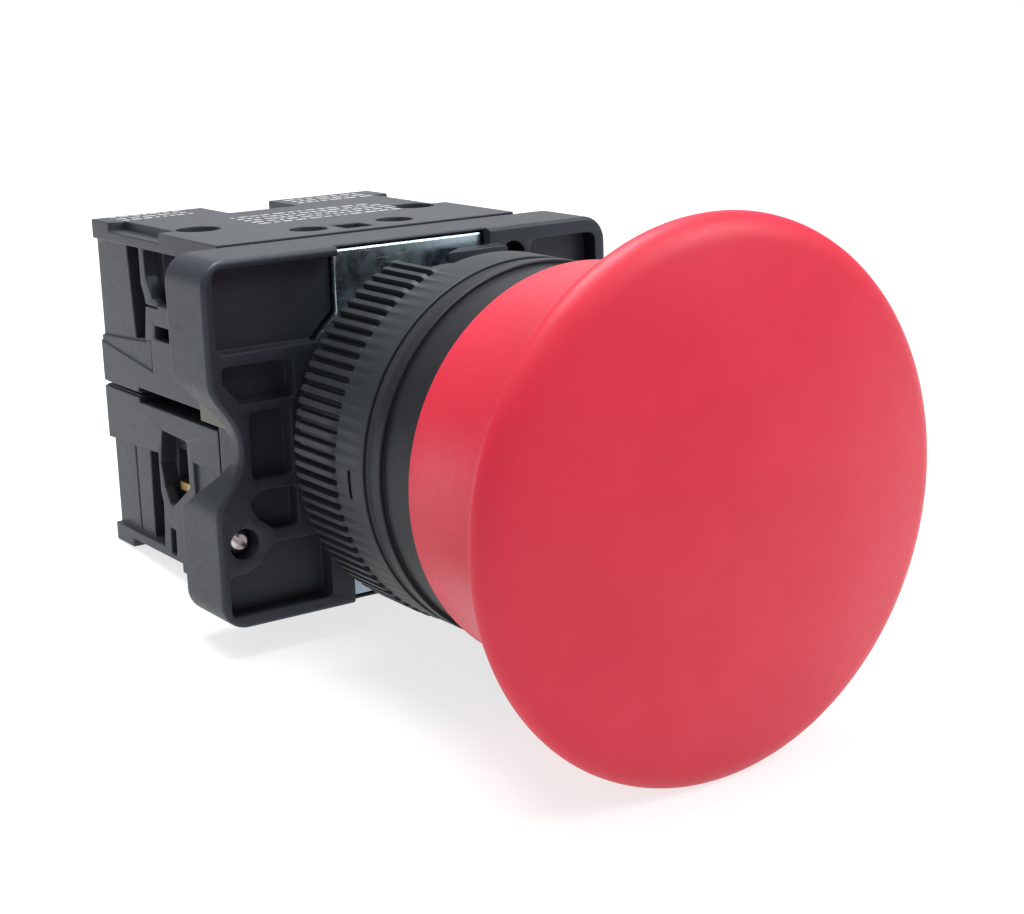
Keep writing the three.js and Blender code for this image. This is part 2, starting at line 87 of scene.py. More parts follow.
def make_camera():
    data = bpy.data.cameras.new("camera")
    data.sensor_width = 36
    data.lens = CAMERA_LENS
    data.shift_x, data.shift_y = CAMERA_SHIFT
    data.clip_start = 0.01
    camera = bpy.data.objects.new("camera", data)
    bpy.context.scene.collection.objects.link(camera)
    back = Vector((
        math.sin(CAMERA_AZIMUTH) * math.cos(CAMERA_ELEVATION),
        -math.cos(CAMERA_AZIMUTH) * math.cos(CAMERA_ELEVATION),
        math.sin(CAMERA_ELEVATION),
    ))
    turn = back.to_track_quat("Z", "Y").to_matrix().to_4x4() @ Matrix.Rotation(CAMERA_ROLL, 4, "Z")
    place = (Vector(CAMERA_AIM) + back * CAMERA_DISTANCE) * MM
    camera.matrix_world = Matrix.Translation(place) @ turn
    bpy.context.scene.camera = camera


make_camera()

# ---- outlines --------------------------------------------------------------------------------


def bezier(points, steps):
    """Points along a cubic curve, from its four control points. The last one is left out."""
    a, b, c, d = (Vector(p) for p in points)
    found = []
    for i in range(steps):
        t = i / steps
        s = 1 - t
        found.append(tuple(a * s**3 + b * 3 * s * s * t + c * 3 * s * t * t + d * t**3))
    return found


def arc(centre, radius, start, end, steps):
    """Points on an arc, from one angle in degrees to another."""
    found = []
    for i in range(steps + 1):
        angle = math.radians(start + (end - start) * i / steps)
        found.append((centre[0] + radius * math.cos(angle), centre[1] + radius * math.sin(angle)))
    return found


def rounded(points, radius, steps=4, closed=True):
    """An outline with its corners rounded. A point may carry its own radius as a third number."""
    found = []
    last = len(points) - 1
    for i, point in enumerate(points):
        own = point[2] if len(point) > 2 else radius
        here = Vector(point[:2])
        if own <= 0 or (not closed and i in (0, last)):
            found.append(tuple(here))
            continue
        before = Vector(points[i - 1][:2]) - here
        after = Vector(points[(i + 1) % len(points)][:2]) - here
        half_angle = before.angle(after) / 2
        reach = min(own / math.tan(max(half_angle, 0.05)), 0.45 * before.length, 0.45 * after.length)
        if half_angle > 1.55 or reach < 1e-4:
            found.append(tuple(here))
            continue
        start = here + before.normalized() * reach
        end = here + after.normalized() * reach
        for k in range(steps + 1):
            t = k / steps
            found.append(tuple(start * (1 - t) ** 2 + here * 2 * t * (1 - t) + end * t * t))
    return found


def mirrored(points):
    return [(-p[0], *p[1:]) for p in points]


# ---- solids, in millimetres ------------------------------------------------------------------


def solid(vertices, faces):
    mesh = bpy.data.meshes.new("work")
    mesh.from_pydata(vertices, [], faces)
    bm = bmesh.new()
    bm.from_mesh(mesh)
    bmesh.ops.recalc_face_normals(bm, faces=bm.faces)
    bm.to_mesh(mesh)
    bm.free()
    made = bpy.data.objects.new("work", mesh)
    bpy.context.scene.collection.objects.link(made)
    return made


def lathe(points, segments=128, form=None):
    """A solid of revolution about Y from (radius, y) points. It closes on itself, or on the axis.
    form(angle, radius, y) may change the radius of a point."""
    vertices, rings = [], []
    for radius, y in points:
        start = len(vertices)
        if radius < 1e-6:
            vertices.append((0, y, 0))
            rings.append([start] * segments)
            continue
        for i in range(segments):
            angle = TURN * i / segments
            r = form(angle, radius, y) if form else radius
            vertices.append((r * math.cos(angle), y, r * math.sin(angle)))
        rings.append(list(range(start, start + segments)))
    on_axis = points[0][0] < 1e-6
    faces = []
    for a, b in zip(rings, rings[1:] if on_axis else rings[1:] + rings[:1]):
        for i in range(segments):
            j = (i + 1) % segments
            corners = []
            for v in (a[i], b[i], b[j], a[j]):
                if v not in corners:
                    corners.append(v)
            if len(corners) > 2:
                faces.append(corners)
    return solid(vertices, faces)


AXES = {
    "X": lambda u, v, w: (w, u, v),
    "Y": lambda u, v, w: (u, w, v),
    "Z": lambda u, v, w: (u, v, w),
}


def inset(outline, distance):
    """The outline moved inward by a distance."""
    area = sum(a[0] * b[1] - b[0] * a[1] for a, b in zip(outline, outline[1:] + outline[:1]))
    side = 1 if area > 0 else -1
    found = []
    for i, p in enumerate(outline):
        a, b = Vector(outline[i - 1]), Vector(outline[(i + 1) % len(outline)])
        here = Vector(p)
        first, second = (here - a).normalized(), (b - here).normalized()
        n1 = Vector((-first.y, first.x)) * side
        n2 = Vector((-second.y, second.x)) * side
        found.append(tuple(here + (n1 + n2) * (distance / max(0.3, 1 + n1.dot(n2)))))
    return found


def prism(outline, low, high, axis="Y", edges=(0, 0)):
    """An outline given thickness along an axis, with edges of the given radii at its low and high ends.
    The outline is in X and Z for axis Y, X and Y for axis Z, and Y and Z for axis X."""
    levels = []
    quarter = 4
    if edges[0]:
        levels += [
            (low + edges[0] * (1 - math.cos(math.pi / 2 * k / quarter)),
             edges[0] * (1 - math.sin(math.pi / 2 * k / quarter)))
            for k in range(quarter + 1)
        ]
    else:
        levels.append((low, 0))
    if edges[1]:
        levels += [
            (high - edges[1] * (1 - math.sin(math.pi / 2 * k / quarter)),
             edges[1] * (1 - math.cos(math.pi / 2 * k / quarter)))
            for k in range(quarter + 1)
        ]
    else:
        levels.append((high, 0))
    place = AXES[axis]
    vertices = []
    for w, distance in levels:
        ring = inset(outline, distance) if distance else outline
        vertices += [place(u, v, w) for u, v in ring]
    count = len(outline)
    faces = [list(range(count))[::-1], [len(vertices) - count + i for i in range(count)]]
    for level in range(len(levels) - 1):
        for i in range(count):
            j = (i + 1) % count
            a = level * count
            faces.append([a + i, a + j, a + count + j, a + count + i])
    return solid(vertices, faces)


def box(x, y, z):
    corners = [(x[0], y[0]), (x[1], y[0]), (x[1], y[1]), (x[0], y[1])]
    return prism(corners, *z, axis="Z")


def rounded_rectangle(u, v, radius, steps=4):
    corners = [(u[0], v[0]), (u[1], v[0]), (u[1], v[1]), (u[0], v[1])]
    return rounded(corners, radius, steps)


def across(side, a, b):
    """A range between two distances from the middle, on one side of it (-1 or 1)."""
    return tuple(sorted((side * a, side * b)))


def rod(centre, radius, low, high, axis="Y", segments=48):
    """A cylinder along an axis. The centre is given in the other two coordinates."""
    return prism(arc(centre, radius, 0, 360 * (1 - 1 / segments), segments - 1), low, high, axis)


def apply_modifiers(thing):
    bpy.context.view_layer.update()
    graph = bpy.context.evaluated_depsgraph_get()
    mesh = bpy.data.meshes.new_from_object(thing.evaluated_get(graph), depsgraph=graph)
    old = thing.data
    thing.modifiers.clear()
    thing.data = mesh
    bpy.data.meshes.remove(old)


def combine(base, others, operation):
    group = bpy.data.collections.new("work")
    for other in others:
        group.objects.link(other)
    modifier = base.modifiers.new("combine", "BOOLEAN")
    modifier.operand_type = "COLLECTION"
    modifier.collection = group
    modifier.solver = "EXACT"
    modifier.operation = operation
    apply_modifiers(base)
    for other in others:
        mesh = other.data
        bpy.data.objects.remove(other)
        bpy.data.meshes.remove(mesh)
    bpy.data.collections.remove(group)
    return base


def cut(base, *tools):
    return combine(base, tools, "DIFFERENCE")


def join(base, *others):
    return combine(base, others, "UNION")


def merge_flat_faces(thing):
    bm = bmesh.new()
    bm.from_mesh(thing.data)
    bmesh.ops.remove_doubles(bm, verts=bm.verts, dist=1e-4)
    bmesh.ops.dissolve_limit(
        bm, angle_limit=math.radians(0.3), verts=bm.verts, edges=bm.edges, use_dissolve_boundaries=False)
    bm.to_mesh(thing.data)
    bm.free()


def split_flat_faces(thing):
    """Cuts every many-sided face into triangles that stay inside its outline."""
    bm = bmesh.new()
    bm.from_mesh(thing.data)
    for face in [f for f in bm.faces if len(f.verts) > 4]:
        right = face.normal.orthogonal().normalized()
        up = face.normal.cross(right)
        origin = face.verts[0].co.copy()
        flat = [Vector(((v.co - origin).dot(right), (v.co - origin).dot(up))) for v in face.verts]
        places, _, triangles, sources, _, _ = delaunay_2d_cdt(flat, [], [list(range(len(flat)))], 1, 1e-6)
        corners = list(face.verts)
        bm.faces.remove(face)
        found = [
            corners[source[0]] if source else bm.verts.new(origin + right * place.x + up * place.y)
            for place, source in zip(places, sources)
        ]
        for triangle in triangles:
            points = [found[k] for k in triangle]
            if len(set(points)) == 3 and not bm.faces.get(points):
                bm.faces.new(points)
    bmesh.ops.remove_doubles(bm, verts=bm.verts, dist=1e-4)
    bm.to_mesh(thing.data)
    bm.free()


def round_edges(thing, width):
    merge_flat_faces(thing)
    bevel = thing.modifiers.new("edges", "BEVEL")
    bevel.width = width
    bevel.segments = 2
    bevel.limit_method = "ANGLE"
    bevel.angle_limit = math.radians(32)
    bevel.use_clamp_overlap = False
    bevel.loop_slide = False
    apply_modifiers(thing)
    split_flat_faces(thing)


def piece(name, thing, body, look, nodes, slot, edge=0.0, turned_over=False):
    """Turns a solid into a piece: edges rounded, smoothed, in metres, and riding on its body."""
    if edge:
        round_edges(thing, edge)
    if turned_over:
        thing.data.transform(HALF_ROUND)
    thing.data.transform(Matrix.Scale(MM, 4))
    thing.data.shade_smooth()
    thing.data.set_sharp_from_angle(angle=math.radians(40))
    weighted = thing.modifiers.new("normals", "WEIGHTED_NORMAL")
    weighted.keep_sharp = True
    apply_modifiers(thing)
    thing.name = thing.data.name = name
    thing.data.materials.clear()
    thing.data.materials.append(look)
    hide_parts(*nodes)
    if body:
        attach(thing, body)
    return thing


# ---- materials -------------------------------------------------------------------------------


class Look:
    """A Principled material fed by small node chains in object space, with sizes in millimetres."""

    def __init__(self, name):
        self.material = bpy.data.materials.new(name)
        self.material.use_nodes = True
        self.tree = self.material.node_tree
        self.shader = self.tree.nodes["Principled BSDF"]
        self.coordinates = self.tree.nodes.new("ShaderNodeTexCoord").outputs["Object"]

    def add(self, kind, inputs=(), **settings):
        made = self.tree.nodes.new("ShaderNode" + kind)
        for key, value in settings.items():
            setattr(made, key, value)
        for socket, value in dict(inputs).items():
            self.feed(made.inputs[socket], value)
        return made

    def feed(self, socket, value):
        if isinstance(value, bpy.types.NodeSocket):
            self.tree.links.new(value, socket)
        else:
            socket.default_value = value

    def set(self, **values):
        for name, value in values.items():
            self.feed(self.shader.inputs[name.replace("_", " ")], value)
        return self

    def place(self, stretch=(1, 1, 1), turn=(0, 0, 0)):
        """Object coordinates, stretched so that a pattern is drawn out along an axis."""
        scale = tuple(1 / s for s in stretch)
        inputs = {"Vector": self.coordinates, "Scale": scale, "Rotation": turn}
        return self.add("Mapping", inputs).outputs[0]

    def noise(self, size, detail=3, roughness=0.55, stretch=(1, 1, 1), turn=(0, 0, 0), distortion=0):
        inputs = {
            "Vector": self.place(stretch, turn), "Scale": 1 / (size * MM), "Detail": detail,
            "Roughness": roughness, "Distortion": distortion,
        }
        return self.add("TexNoise", inputs).outputs["Fac"]

    def between(self, value, low, high, out_low=0, out_high=1):
        inputs = {"Value": value, "From Min": low, "From Max": high, "To Min": out_low, "To Max": out_high}
        return self.add("MapRange", inputs).outputs[0]

    def math(self, operation, a, b):
        return self.add("Math", {0: a, 1: b}, operation=operation).outputs[0]

    def mix(self, factor, a, b):
        made = self.add("Mix", data_type="RGBA")
        self.feed(made.inputs["Factor"], factor)
        self.feed(made.inputs["A"], a)
        self.feed(made.inputs["B"], b)
        return made.outputs["Result"]

    def bump(self, height, depth, strength=1.0, under=None):
        inputs = {"Height": height, "Distance": depth * MM, "Strength": strength}
        if under:
            inputs["Normal"] = under
        return self.add("Bump", inputs).outputs["Normal"]


def colour(red, green, blue):
    return (red, green, blue, 1)


def moulded(name, dark, light, roughness, grain=0.22, depth=0.006, dust=0.0):
    """A moulded plastic: a fine grain, faint flow marks, and a little dust or rubbing."""
    look = Look(name)
    flow = look.noise(7, detail=4, stretch=(1, 2.5, 1), distortion=0.6)
    fine = look.noise(grain, detail=2, roughness=0.6)
    speck = look.noise(0.5, detail=5, roughness=0.7)
    tone = look.between(flow, 0.3, 0.7)
    base = look.mix(tone, dark, light)
    if dust:
        flecks = look.between(speck, 0.62, 0.8, 0, dust)
        base = look.mix(flecks, base, colour(0.35, 0.35, 0.34))
    rough = look.math("ADD", look.between(speck, 0.3, 0.7, -0.05, 0.06), roughness)
    rub = look.noise(0.35, detail=2, stretch=(12, 1, 1), turn=(0.3, 0.5, 0.9))
    scuffs = look.between(rub, 0.66, 0.74)
    normal = look.bump(fine, depth)
    normal = look.bump(scuffs, 0.004, 0.5, normal)
    look.set(Base_Color=base, Roughness=rough, Normal=normal)
    return look


def red_plastic():
    dark, light = colour(0.53, 0.012, 0.035), colour(0.57, 0.017, 0.043)
    look = moulded("red_satin", dark, light, 0.44, grain=0.3, depth=0.004)
    look.set(Subsurface_Weight=0.06, Subsurface_Radius=(1.0, 0.2, 0.1), Subsurface_Scale=1.2 * MM)
    look.set(Specular_IOR_Level=0.35)
    return look.material


def black_plastic(name, tone, roughness, shine, dust=0.02, grain=0.22):
    light = [c * 1.35 for c in tone]
    look = moulded(name, colour(*tone), colour(*light), roughness, grain=grain, depth=0.008, dust=dust)
    look.set(Specular_IOR_Level=shine, Specular_Tint=colour(0.80, 0.90, 1.0))
    return look.material


def plated(name, tone, tint, brushed=(1, 30, 1), roughness=0.26, tint_share=0.3):
    """Zinc-plated steel: cloudy, brushed and scratched, with the faint colours of its passivation."""
    look = Look(name)
    cloud = look.noise(1.6, detail=5, roughness=0.65)
    lines = look.noise(0.09, detail=2, stretch=brushed)
    scratch = look.noise(0.28, detail=1, stretch=(9, 9, 1), turn=(0.2, 0.6, 0.4))
    scratches = look.between(scratch, 0.68, 0.73)
    hue = look.noise(3.2, detail=2, distortion=1.5)
    base = look.mix(look.between(cloud, 0.35, 0.7), colour(*[c * 0.72 for c in tone]), colour(*tone))
    base = look.mix(look.between(hue, 0.5, 0.75, 0, tint_share), base, tint)
    base = look.mix(look.math("MULTIPLY", scratches, 0.5), base, colour(0.9, 0.92, 0.95))
    rough = look.math("ADD", look.between(cloud, 0.3, 0.7, -0.06, 0.12), roughness)
    normal = look.bump(lines, 0.003, 0.7)
    normal = look.bump(scratches, 0.01, 0.5, normal)
    look.set(Base_Color=base, Metallic=1.0, Roughness=rough, Normal=normal)
    return look


RED = red_plastic()
BODY_BLACK = black_plastic("body_black", (0.0095, 0.0095, 0.011), 0.44, 0.22)
NUT_BLACK = black_plastic("nut_black", (0.0125, 0.015, 0.016), 0.48, 0.32, dust=0.05)
BASE_BLACK = black_plastic("base_black", (0.0125, 0.015, 0.020), 0.47, 0.45)
BLOCK_BLACK = black_plastic("block_black", (0.015, 0.0175, 0.022), 0.45, 0.5)
RUBBER = black_plastic("rubber", (0.008, 0.008, 0.009), 0.7, 0.35, dust=0.08, grain=0.12)
GREY = black_plastic("grey_nylon", (0.024, 0.026, 0.030), 0.55, 0.45)
ACETAL = moulded(
    "white_acetal", colour(0.66, 0.64, 0.58), colour(0.73, 0.71, 0.66), 0.38, depth=0.003).material
GREEN = moulded(
    "green_nylon", colour(0.016, 0.14, 0.045), colour(0.022, 0.18, 0.06), 0.42, depth=0.003).material
ZINC = plated("zinc", (0.42, 0.52, 0.60), colour(0.26, 0.46, 0.30)).material
SCREW_ZINC = plated("screw_zinc", (0.66, 0.68, 0.70), colour(0.6, 0.62, 0.45), brushed=(1, 1, 1)).material
YELLOW_ZINC = plated("yellow_zinc", (0.085, 0.092, 0.07), colour(0.07, 0.09, 0.05), tint_share=0.7).material
SPRING_STEEL = plated(
    "spring_steel", (0.58, 0.58, 0.59), colour(0.5, 0.48, 0.42), brushed=(1, 1, 1)).material
BRASS = plated("brass", (0.72, 0.52, 0.22), colour(0.70, 0.42, 0.2), roughness=0.3).material
INK = moulded("white_ink", colour(0.22, 0.23, 0.24), colour(0.40, 0.41, 0.42), 0.6, depth=0.002).material

# ---- head ------------------------------------------------------------------------------------

CAP = limits("mushroom_cap")
HEAD_RADIUS = CAP[0][1]
HEAD_FRONT = CAP[1][0]
SKIRT_END = CAP[1][1]
RIM_Y = HEAD_FRONT + 4.8
CROWN_RADIUS = 18.2
CROWN_DROP = 3.0
SKIRT_RADIUS = 15.2


def flare(share):
    """A point of the flared neck, from the skirt's end (0) to the rim (1)."""
    return SKIRT_RADIUS + 4.3 * share**1.69, SKIRT_END + (RIM_Y + 0.5 - SKIRT_END) * share


def mushroom_cap():
    crown = []
    for i in range(30):
        r = CROWN_RADIUS * i / 30
        crown.append((r, HEAD_FRONT + CROWN_DROP * (r / CROWN_RADIUS) ** 2))
    edge = Vector((CROWN_RADIUS, HEAD_FRONT + CROWN_DROP))
    slope = Vector((1, 2 * CROWN_DROP / CROWN_RADIUS)).normalized()
    widest = Vector((HEAD_RADIUS, RIM_Y))
    neck_share = 0.93
    neck = Vector(flare(neck_share))
    neck_slope = (neck - Vector(flare(neck_share - 0.02))).normalized()
    rim = bezier([edge, edge + slope * 0.9, widest - Vector((0, 0.85)), widest], 10)
    rim += bezier([widest, widest + Vector((0, 0.5)), neck + neck_slope * 0.5, neck], 8)
    sides = [flare(neck_share * (1 - i / 30)) for i in range(30)]
    inside = rounded([
        flare(0), (14.75, SKIRT_END), (14.75, -18.6, 0.6), (13.4, -20.4, 0.8), (5.6, -20.4, 0.5),
        (5, -9, 0.2), (3, -9, 0.2), (3, -18, 0.1), (0, -18),
    ], 0.15, closed=False)
    return lathe(crown + rim + sides + inside, 192)


def push_stem():
    _, (_, end), _ = limits("push_stem")
    return lathe(rounded([
        (0, -17.9), (2.9, -17.9, 0.5), (2.9, -8.9), (4.6, -8.9), (4.6, -0.9), (8.8, -0.9), (8.8, 0.6),
        (4, 0.6), (4, end - 1.7), (1.6, end - 1.7), (1.6, end, 0.4), (0, end),
    ], 0.25, closed=False), 96)


def pusher_foot():
    x, y, z = limits("pusher_foot")
    plate = prism(rounded_rectangle(x, z, 1.2), *y)
    return cut(plate, rod((0, 0), 1.7, y[0] - 1, y[1] + 1))


def coil(centre_z, radius, wire, low, high, turns, sides=10):
    """A compression spring along Y with closed ends."""
    steps = turns * 28
    vertices, faces = [], []
    dead = 1.0 / turns
    closing = 0.15
    for i in range(steps + 1):
        share = i / steps
        angle = TURN * turns * share
        if share < dead:
            rise = closing * dead * (share / dead)
        elif share > 1 - dead:
            rise = 1 - closing * dead * ((1 - share) / dead)
        else:
            rise = closing * dead + (1 - 2 * closing * dead) * (share - dead) / (1 - 2 * dead)
        y = low + wire + (high - low - 2 * wire) * rise
        for k in range(sides):
            turn = TURN * k / sides
            r = radius + wire * math.cos(turn)
            along = y + wire * math.sin(turn)
            vertices.append((r * math.cos(angle), along, centre_z + r * math.sin(angle)))
        if i:
            for k in range(sides):
                a, b = (i - 1) * sides, i * sides
                n = (k + 1) % sides
                faces.append([a + k, a + n, b + n, b + k])
    faces.append(list(range(sides)))
    faces.append([steps * sides + k for k in range(sides)])
    return solid(vertices, faces)


def squeeze(spring, joint, front, back):
    """Gives a spring its own copy of its mesh; the spring keeps its shape."""
    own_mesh(spring)


def spring_seat():
    (_, outer), (front, back), _ = limits("spring_seat")
    return lathe(rounded([(4.3, front), (outer, front), (outer, back), (4.3, back)], 0.2), 96)


def make_head():
    piece("red_mushroom", mushroom_cap(), "head", RED, ["mushroom_cap"], "red_plastic")
    piece("stem", push_stem(), "head", ACETAL, ["push_stem"], "white_acetal")
    piece("foot", pusher_foot(), "head", ACETAL, ["pusher_foot"], "white_acetal", edge=0.25)
    piece("seat_ring", spring_seat(), "housing", GREY, ["spring_seat"], "grey_plastic")
    _, (low, high), _ = limits("return_spring")
    spring = coil(0, 6.5, 0.45, low, high, 6)
    spring = piece("head_spring", spring, "housing", SPRING_STEEL, ["return_spring"], "spring_steel")
    squeeze(spring, "head_press", low, high)


make_head()

# ---- body ------------------------------------------------------------------------------------

BODY = limits("button_body")
THREAD_PITCH = 1.0
THREAD_DEPTH = 0.55
BARREL_RADIUS = 10.9
COLLAR_RADIUS = 14.4
FLANGE_RADIUS = BODY[0][1]
FLANGE_FRONT = -2.25
THREAD_START = -0.6
THREAD_END = 12.6


def thread(angle, radius, y):
    """Cuts a screw thread into the barrel, fading out at both ends."""
    if abs(radius - BARREL_RADIUS) > 1e-3 or not THREAD_START < y < THREAD_END:
        return radius
    phase = (y / THREAD_PITCH - angle / TURN) % 1
    valley = min(1, max(0, 1.25 - abs(phase - 0.5) * 3.4))
    fade = min(1, (y - THREAD_START) / 0.8, (THREAD_END - y) / 0.8)
    return radius - THREAD_DEPTH * valley * fade


def button_body():
    start, end = BODY[1]
    threaded = [(BARREL_RADIUS, -0.9 + 0.1 * i) for i in range(139)]
    outside = rounded([
        (13.3, start), (COLLAR_RADIUS, start), (COLLAR_RADIUS, FLANGE_FRONT, 0.08),
        (FLANGE_RADIUS, FLANGE_FRONT, 0.3), (FLANGE_RADIUS, -1.1, 0.05), (BARREL_RADIUS, -1.1, 0.1),
        (BARREL_RADIUS, -0.9, 0),
    ], 0.3, closed=False)
    inside = rounded([
        (BARREL_RADIUS, 13), (10.3, 13.4, 0.2), (10.3, end, 0.3), (9.5, end), (9.5, 14.9), (8.6, 14.7),
        (8.6, 14.1), (9.4, 14.1), (9.4, -1), (4.8, -1), (4.8, -3), (13.3, -3), (13.3, start + 0.3),
    ], 0.15, closed=False)
    return lathe(outside + threaded[1:] + inside, 144, thread)


def gasket():
    (_, outer), (front, back), _ = limits("panel_gasket")
    return lathe(rounded([(11.2, front), (outer, front), (outer, back), (11.2, back)], 0.08), 144)


NUT = limits("ring_nut")
NUT_RADIUS = 14.75
NUT_BORE = 11.1
RIDGES = 96
RIDGE_TOP = NUT[0][1]
RIDGE_ROOT = 14.4
RIDGES_START = 4.0
RIDGE_GAP = (57, 110)
RIDGE_GAP_RADIUS = 13.2


def ridges(angle, radius, y):
    """Axial ridges round the rear of the nut, with rounded tops and sloping ends."""
    if radius < NUT_RADIUS - 0.6 or y < RIDGES_START - 1e-6:
        return radius
    phase = (angle / TURN * RIDGES) % 1
    top = min(1, max(0, (0.36 - abs(phase - 0.5)) / 0.14))
    top = top * top * (3 - 2 * top)
    grown = min(1, (y - RIDGES_START) / 0.35)
    high = NUT_RADIUS + (RIDGE_TOP - NUT_RADIUS) * grown - (NUT_RADIUS - radius)
    low = NUT_RADIUS + (RIDGE_ROOT - NUT_RADIUS) * grown - (NUT_RADIUS - radius) * 0.3
    return low + (high - low) * top


def ring_nut():
    front, back = NUT[1]
    smooth = rounded([
        (NUT_BORE, front), (NUT_RADIUS, front, 0.1), (NUT_RADIUS, RIDGES_START, 0),
    ], 0.2, closed=False)
    rows = [(NUT_RADIUS, RIDGES_START + step) for step in (0.12, 0.24, 0.35)]
    rows += [(NUT_RADIUS, RIDGES_START + 0.35 + 0.9 * i) for i in range(1, 7)]
    rows += [(NUT_RADIUS - 0.06, back - 0.28), (NUT_RADIUS - 0.2, back - 0.1), (NUT_RADIUS - 0.42, back)]
    nut = lathe(smooth + rows + [(NUT_BORE + 0.4, back), (NUT_BORE, back - 0.4)], RIDGES * 10, ridges)
    sector = [(0, 0)] + arc((0, 0), 20, *RIDGE_GAP, 12)
    gap = cut(
        prism(sector, RIDGES_START, back + 1),
        rod((0, 0), RIDGE_GAP_RADIUS, RIDGES_START - 1, back + 2, segments=96))
    slot_angle = math.radians(183)
    slot = box((-0.45, 1), (1.88, 2.32), (-1.1, 1.1))
    slot.data.transform(
        Matrix.Translation((NUT_RADIUS * math.cos(slot_angle), 0, NUT_RADIUS * math.sin(slot_angle)))
        @ Matrix.Rotation(-slot_angle, 4, "Y"))
    return cut(nut, slot, gap)


def make_body():
    piece("bezel_and_barrel", button_body(), "housing", BODY_BLACK, ["button_body"], "black_plastic")
    piece("gasket_ring", gasket(), "housing", RUBBER, ["panel_gasket"], "rubber_seal")
    piece("ribbed_nut", ring_nut(), "housing", NUT_BLACK, ["ring_nut"], "black_plastic")


make_body()

# ---- clamping base ---------------------------------------------------------------------------

BASE = limits("clamp_base")
BASE_X = BASE[0][1]
BASE_BACK = BASE[1][1]
BASE_Z = BASE[2][1]
TAB_FRONT = BASE[1][0]
NECK_HOLE = 10.5
POCKET_DEPTH = 1.6
SMALL_POCKET_DEPTH = 1.3
PLATE_X = 7.15
PLATE_FRONT, PLATE_BACK = limits("lock_plate")[1]
PLATE_Z = limits("lock_plate")[2]
BASE_FRONT = PLATE_FRONT - 1
PLATE_RING = limits("lock_plate")[0][1]
SCREW = (sum(limits("clamp_screw_right")[0]) / 2, -7.85)
SCREW_PITCH = 0.5


def base_outline():
    """The base's outline, anticlockwise from its left side, with a round bite in each side."""
    r, x, z = 2.2, BASE_X, BASE_Z
    bite = bezier([(-x, 5.4), (-x, 3.4), (-17, 2.6), (-17, -0.3)], 12)
    bite += bezier([(-17, -0.3), (-17, -3.2), (-x, -3.8), (-x, -5.7)], 12)
    bite.append((-x, -5.7))
    lower = arc((-x + r, -z + r), r, 180, 270, 8)
    left = bite + lower
    right = mirrored(left)[::-1]
    return left + right + arc((x - r, z - r), r, 0, 90, 8) + arc((-x + r, z - r), r, 90, 180, 8)


def side_pockets(side):
    """The pockets below the top one, on one side of the front."""
    def pocket(points, radius, depth):
        outline = rounded([(side * point[0], *point[1:]) for point in points], radius)
        return prism(outline, BASE_FRONT - 1, BASE_FRONT + depth)

    return [
        pocket([(11.9, 6.5), (11.9, 3.4), (16.6, 3.4), (18.1, 5.2), (18.1, 6.5)], 0.5, SMALL_POCKET_DEPTH),
        pocket([(12.4, -2.9), (16, -2.9), (16, 2.7), (12.4, 2.7)], 0.5, SMALL_POCKET_DEPTH),
        pocket([(12.2, -3.8), (15.4, -3.7, 0.9), (16.5, -4.6, 0.7), (15.6, -6.1, 0.7), (14.3, -7.1),
                (12.2, -7.1)], 0.4, SMALL_POCKET_DEPTH),
        pocket([(9.4, -13.7), (18.6, -13.7), (18.6, -10.3), (17, -10.3), (15.9, -9.7), (15.2, -8.7),
                (14.3, -8.2), (9.4, -8.2)], 0.5, POCKET_DEPTH),
    ]


def side_wedge(side):
    """What is cut away behind a bite, down to the latches."""
    back = BASE_BACK + 1
    upper = bezier([(back, 5.4), (20.2, 5.0), (17.6, 2.4), (16.7, 1.2)], 10)
    lower = bezier([(16.7, -1.5), (17.6, -2.2), (20.4, -5.4), (back, -6.2)], 10)
    outline = upper + [(16.7, 1.2)] + lower + [(back, -6.2)]
    return prism(outline, *across(side, 15.5, 19.9), axis="X")


def clamp_base():
    front, back = BASE_FRONT, BASE_BACK
    depth = (front - 1, front + POCKET_DEPTH)
    plate_x = (-PLATE_X - 0.1, PLATE_X + 0.1)
    tools = [
        rod((0, 0), NECK_HOLE, front - 1, back + 1, segments=96),
        box(plate_x, (front - 1, PLATE_FRONT), (-BASE_Z - 1, BASE_Z + 1)),
        box(plate_x, (front - 1, PLATE_BACK + 0.1), (PLATE_Z[0] - 0.05, PLATE_Z[1] + 0.05)),
        rod((0, 0), PLATE_RING + 0.2, front - 1, PLATE_BACK + 0.1, segments=96),
        prism(rounded_rectangle((-18.4, -6), (7.5, 14.1), 0.8), *depth),
        prism(rounded_rectangle((11.4, 18.2), (7.4, 13.5), 0.8), *depth),
        prism([(8.45, 9.5), (10.75, 9.5)] + arc((9.6, 12.4), 1.15, 0, 180, 12), *depth),
    ]
    for side in (-1, 1):
        tools += side_pockets(side)
        tools.append(rod((side * SCREW[0], SCREW[1]), 1.25, front - 1, back + 1))
        tools.append(rod((side * SCREW[0], SCREW[1]), 2.05, back - 1.9, back + 1))
        tools.append(side_wedge(side))
        # A recess for a block's latch clip, and a slot for its hook.
        tools.append(box(across(side, 15.5, 17.1), (16.7, back + 1), across(-side, 0.5, 4.3)))
        tools.append(box(across(side, 12.4, 14.4), (front + 2.6, back + 1), across(side, 5.5, 9.5)))
    tab = prism(rounded([
        (2.2, TAB_FRONT), (8.3, TAB_FRONT), (8.3, front + 0.5), (7.6, front + 0.5),
        (7.6, PLATE_FRONT - 0.1), (4.7, PLATE_FRONT - 0.1),
    ], 0.2), 12.2, 13.45, axis="Z")
    return join(cut(prism(base_outline(), front, back, edges=(0.4, 0.3)), *tools), tab)


